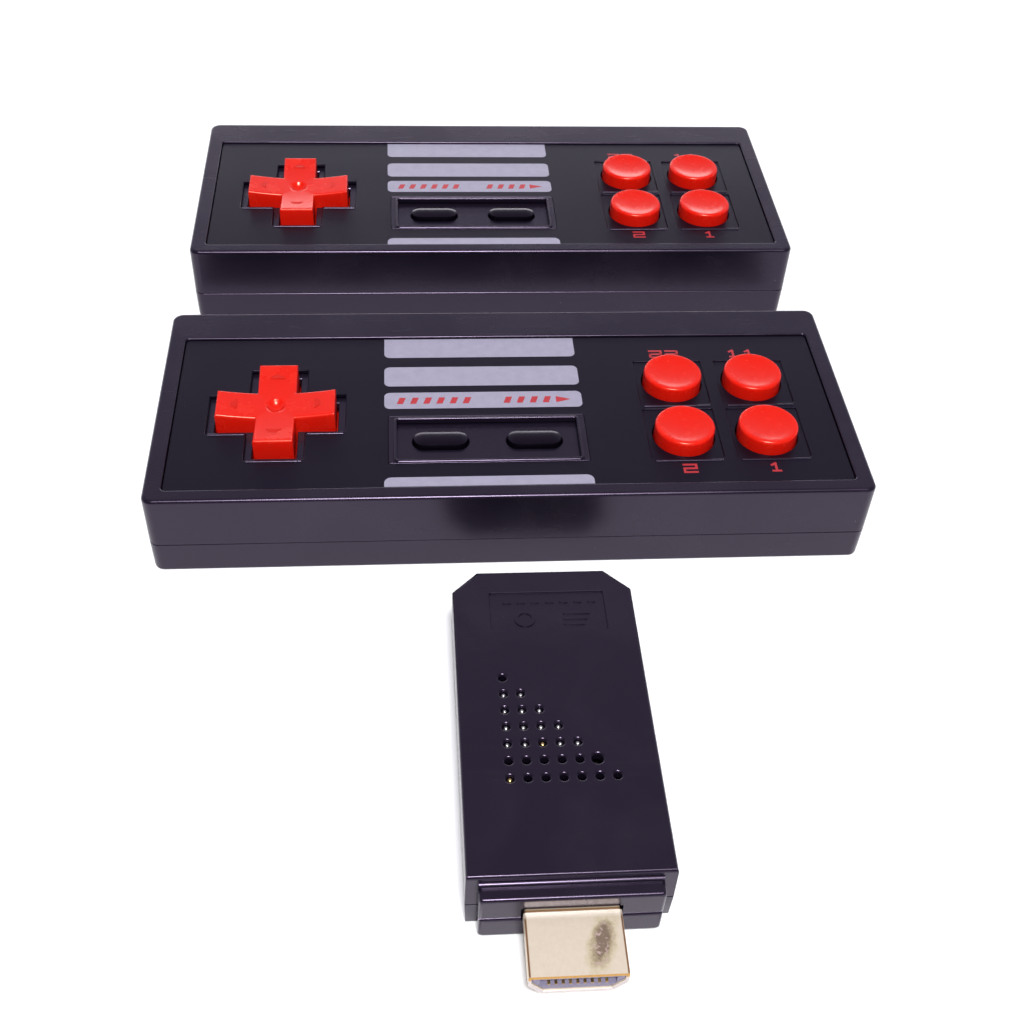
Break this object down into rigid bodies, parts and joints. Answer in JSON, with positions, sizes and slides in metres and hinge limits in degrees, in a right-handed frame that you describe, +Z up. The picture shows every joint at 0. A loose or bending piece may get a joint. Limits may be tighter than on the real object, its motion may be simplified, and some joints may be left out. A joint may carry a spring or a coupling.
{
  "type": "game console with controllers",
  "caption": "Plug-in game console stick with a video plug, and two flat wireless controllers with a cross pad, two pill buttons and four round buttons.",
  "frame": {"origin": "on the surface that all three pieces lie on, at the middle of the whole set's box", "axes": "+X to the right as the controllers are read, +Y from the console's plug towards the rear controller, +Z up"},
  "size_m": [0.1294, 0.2118, 0.0195],
  "materials": {
    "case_black": "semi-gloss moulded black with a faint violet cast",
    "panel_black": "satin black face plate with printed grey bars",
    "key_red": "glossy red-orange moulded keys",
    "pill_black": "glossy black",
    "board_green": "green circuit board lacquer",
    "membrane_rubber": "matte grey silicone rubber",
    "spring_steel": "plated steel",
    "cell_jacket": "plain coloured cell jacket, no lettering",
    "chip_black": "matte black moulded component",
    "plug_gilt": "pale gilt plating, stained on one side",
    "plug_insulator": "dark moulded plug core"
  },
  "bodies": {
    "console": {"console_upper_shell": "case_black", "console_lower_shell": "case_black", "console_main_board": "board_green", "console_hdmi_shell": "plug_gilt", "console_hdmi_insulator": "plug_insulator", "console_usb_power_socket": "spring_steel", "console_processor": "chip_black", "console_flash_memory": "chip_black", "console_crystal": "spring_steel", "console_wireless_module": "board_green"},
    "controller_1_case": {"controller_1_top_shell": "case_black", "controller_1_bottom_shell": "case_black", "controller_1_face_panel": "panel_black", "controller_1_circuit_board": "board_green", "controller_1_dpad_membrane": "membrane_rubber", "controller_1_menu_membrane": "membrane_rubber", "controller_1_action_membrane": "membrane_rubber", "controller_1_battery_front": "cell_jacket", "controller_1_battery_rear": "cell_jacket", "controller_1_contact_link": "spring_steel", "controller_1_contact_positive": "spring_steel", "controller_1_contact_negative": "spring_steel", "controller_1_screw_1": "spring_steel", "controller_1_screw_2": "spring_steel", "controller_1_screw_3": "spring_steel", "controller_1_screw_4": "spring_steel"},
    "controller_1_button_rear_left": {"controller_1_button_rear_left": "key_red"},
    "controller_1_button_rear_right": {"controller_1_button_rear_right": "key_red"},
    "controller_1_button_front_left": {"controller_1_button_front_left": "key_red"},
    "controller_1_button_front_right": {"controller_1_button_front_right": "key_red"},
    "controller_1_select_button": {"controller_1_select_button": "pill_black"},
    "controller_1_start_button": {"controller_1_start_button": "pill_black"},
    "controller_1_dpad_pivot": {"controller_1_dpad_pivot": "spring_steel"},
    "controller_1_dpad": {"controller_1_dpad": "key_red"},
    "controller_1_battery_door": {"controller_1_battery_door": "case_black"},
    "controller_2_case": {"controller_2_top_shell": "case_black", "controller_2_bottom_shell": "case_black", "controller_2_face_panel": "panel_black", "controller_2_circuit_board": "board_green", "controller_2_dpad_membrane": "membrane_rubber", "controller_2_menu_membrane": "membrane_rubber", "controller_2_action_membrane": "membrane_rubber", "controller_2_battery_front": "cell_jacket", "controller_2_battery_rear": "cell_jacket", "controller_2_contact_link": "spring_steel", "controller_2_contact_positive": "spring_steel", "controller_2_contact_negative": "spring_steel", "controller_2_screw_1": "spring_steel", "controller_2_screw_2": "spring_steel", "controller_2_screw_3": "spring_steel", "controller_2_screw_4": "spring_steel"},
    "controller_2_button_rear_left": {"controller_2_button_rear_left": "key_red"},
    "controller_2_button_rear_right": {"controller_2_button_rear_right": "key_red"},
    "controller_2_button_front_left": {"controller_2_button_front_left": "key_red"},
    "controller_2_button_front_right": {"controller_2_button_front_right": "key_red"},
    "controller_2_select_button": {"controller_2_select_button": "pill_black"},
    "controller_2_start_button": {"controller_2_start_button": "pill_black"},
    "controller_2_dpad_pivot": {"controller_2_dpad_pivot": "spring_steel"},
    "controller_2_dpad": {"controller_2_dpad": "key_red"},
    "controller_2_battery_door": {"controller_2_battery_door": "case_black"}
  },
  "joints": [
    {"name": "controller_1_lift", "type": "slide", "parent": "console", "child": "controller_1_case", "axis": [0, 0, 1], "range_m": [0, 0.06]},
    {"name": "controller_1_button_rear_left_press", "type": "slide", "parent": "controller_1_case", "child": "controller_1_button_rear_left", "axis": [0, 0, -1], "range_m": [0, 0.0013], "stiffness_N_per_m": 600, "deforming": ["controller_1_action_membrane"]},
    {"name": "controller_1_button_rear_right_press", "type": "slide", "parent": "controller_1_case", "child": "controller_1_button_rear_right", "axis": [0, 0, -1], "range_m": [0, 0.0013], "stiffness_N_per_m": 600, "deforming": ["controller_1_action_membrane"]},
    {"name": "controller_1_button_front_left_press", "type": "slide", "parent": "controller_1_case", "child": "controller_1_button_front_left", "axis": [0, 0, -1], "range_m": [0, 0.0013], "stiffness_N_per_m": 600, "deforming": ["controller_1_action_membrane"]},
    {"name": "controller_1_button_front_right_press", "type": "slide", "parent": "controller_1_case", "child": "controller_1_button_front_right", "axis": [0, 0, -1], "range_m": [0, 0.0013], "stiffness_N_per_m": 600, "deforming": ["controller_1_action_membrane"]},
    {"name": "controller_1_select_button_press", "type": "slide", "parent": "controller_1_case", "child": "controller_1_select_button", "axis": [0, 0, -1], "range_m": [0, 0.0009], "stiffness_N_per_m": 500, "deforming": ["controller_1_menu_membrane"]},
    {"name": "controller_1_start_button_press", "type": "slide", "parent": "controller_1_case", "child": "controller_1_start_button", "axis": [0, 0, -1], "range_m": [0, 0.0009], "stiffness_N_per_m": 500, "deforming": ["controller_1_menu_membrane"]},
    {"name": "controller_1_dpad_up_down", "type": "hinge", "parent": "controller_1_case", "child": "controller_1_dpad_pivot", "pos_m": [-0.04285, 0.00085, 0.012], "axis": [1, 0, 0], "range_deg": [-4, 4], "stiffness_Nm_per_rad": 0.12, "deforming": ["controller_1_dpad_membrane"]},
    {"name": "controller_1_dpad_left_right", "type": "hinge", "parent": "controller_1_dpad_pivot", "child": "controller_1_dpad", "pos_m": [-0.04285, 0.00085, 0.012], "axis": [0, 1, 0], "range_deg": [-4, 4], "stiffness_Nm_per_rad": 0.12, "deforming": ["controller_1_dpad_membrane"]},
    {"name": "controller_1_battery_door_hinge", "type": "hinge", "parent": "controller_1_case", "child": "controller_1_battery_door", "pos_m": [-0.00235, 0.0071, 0], "axis": [-1, 0, 0], "range_deg": [0, 90]},
    {"name": "controller_2_lift", "type": "slide", "parent": "console", "child": "controller_2_case", "axis": [0, 0, 1], "range_m": [0, 0.06]},
    {"name": "controller_2_button_rear_left_press", "type": "slide", "parent": "controller_2_case", "child": "controller_2_button_rear_left", "axis": [0, 0, -1], "range_m": [0, 0.0013], "stiffness_N_per_m": 600, "deforming": ["controller_2_action_membrane"]},
    {"name": "controller_2_button_rear_right_press", "type": "slide", "parent": "controller_2_case", "child": "controller_2_button_rear_right", "axis": [0, 0, -1], "range_m": [0, 0.0013], "stiffness_N_per_m": 600, "deforming": ["controller_2_action_membrane"]},
    {"name": "controller_2_button_front_left_press", "type": "slide", "parent": "controller_2_case", "child": "controller_2_button_front_left", "axis": [0, 0, -1], "range_m": [0, 0.0013], "stiffness_N_per_m": 600, "deforming": ["controller_2_action_membrane"]},
    {"name": "controller_2_button_front_right_press", "type": "slide", "parent": "controller_2_case", "child": "controller_2_button_front_right", "axis": [0, 0, -1], "range_m": [0, 0.0013], "stiffness_N_per_m": 600, "deforming": ["controller_2_action_membrane"]},
    {"name": "controller_2_select_button_press", "type": "slide", "parent": "controller_2_case", "child": "controller_2_select_button", "axis": [0, 0, -1], "range_m": [0, 0.0009], "stiffness_N_per_m": 500, "deforming": ["controller_2_menu_membrane"]},
    {"name": "controller_2_start_button_press", "type": "slide", "parent": "controller_2_case", "child": "controller_2_start_button", "axis": [0, 0, -1], "range_m": [0, 0.0009], "stiffness_N_per_m": 500, "deforming": ["controller_2_menu_membrane"]},
    {"name": "controller_2_dpad_up_down", "type": "hinge", "parent": "controller_2_case", "child": "controller_2_dpad_pivot", "pos_m": [-0.04215, 0.07565, 0.012], "axis": [1, 0, 0], "range_deg": [-4, 4], "stiffness_Nm_per_rad": 0.12, "deforming": ["controller_2_dpad_membrane"]},
    {"name": "controller_2_dpad_left_right", "type": "hinge", "parent": "controller_2_dpad_pivot", "child": "controller_2_dpad", "pos_m": [-0.04215, 0.07565, 0.012], "axis": [0, 1, 0], "range_deg": [-4, 4], "stiffness_Nm_per_rad": 0.12, "deforming": ["controller_2_dpad_membrane"]},
    {"name": "controller_2_battery_door_hinge", "type": "hinge", "parent": "controller_2_case", "child": "controller_2_battery_door", "pos_m": [-0.00165, 0.0819, 0], "axis": [-1, 0, 0], "range_deg": [0, 90]}
  ]
}
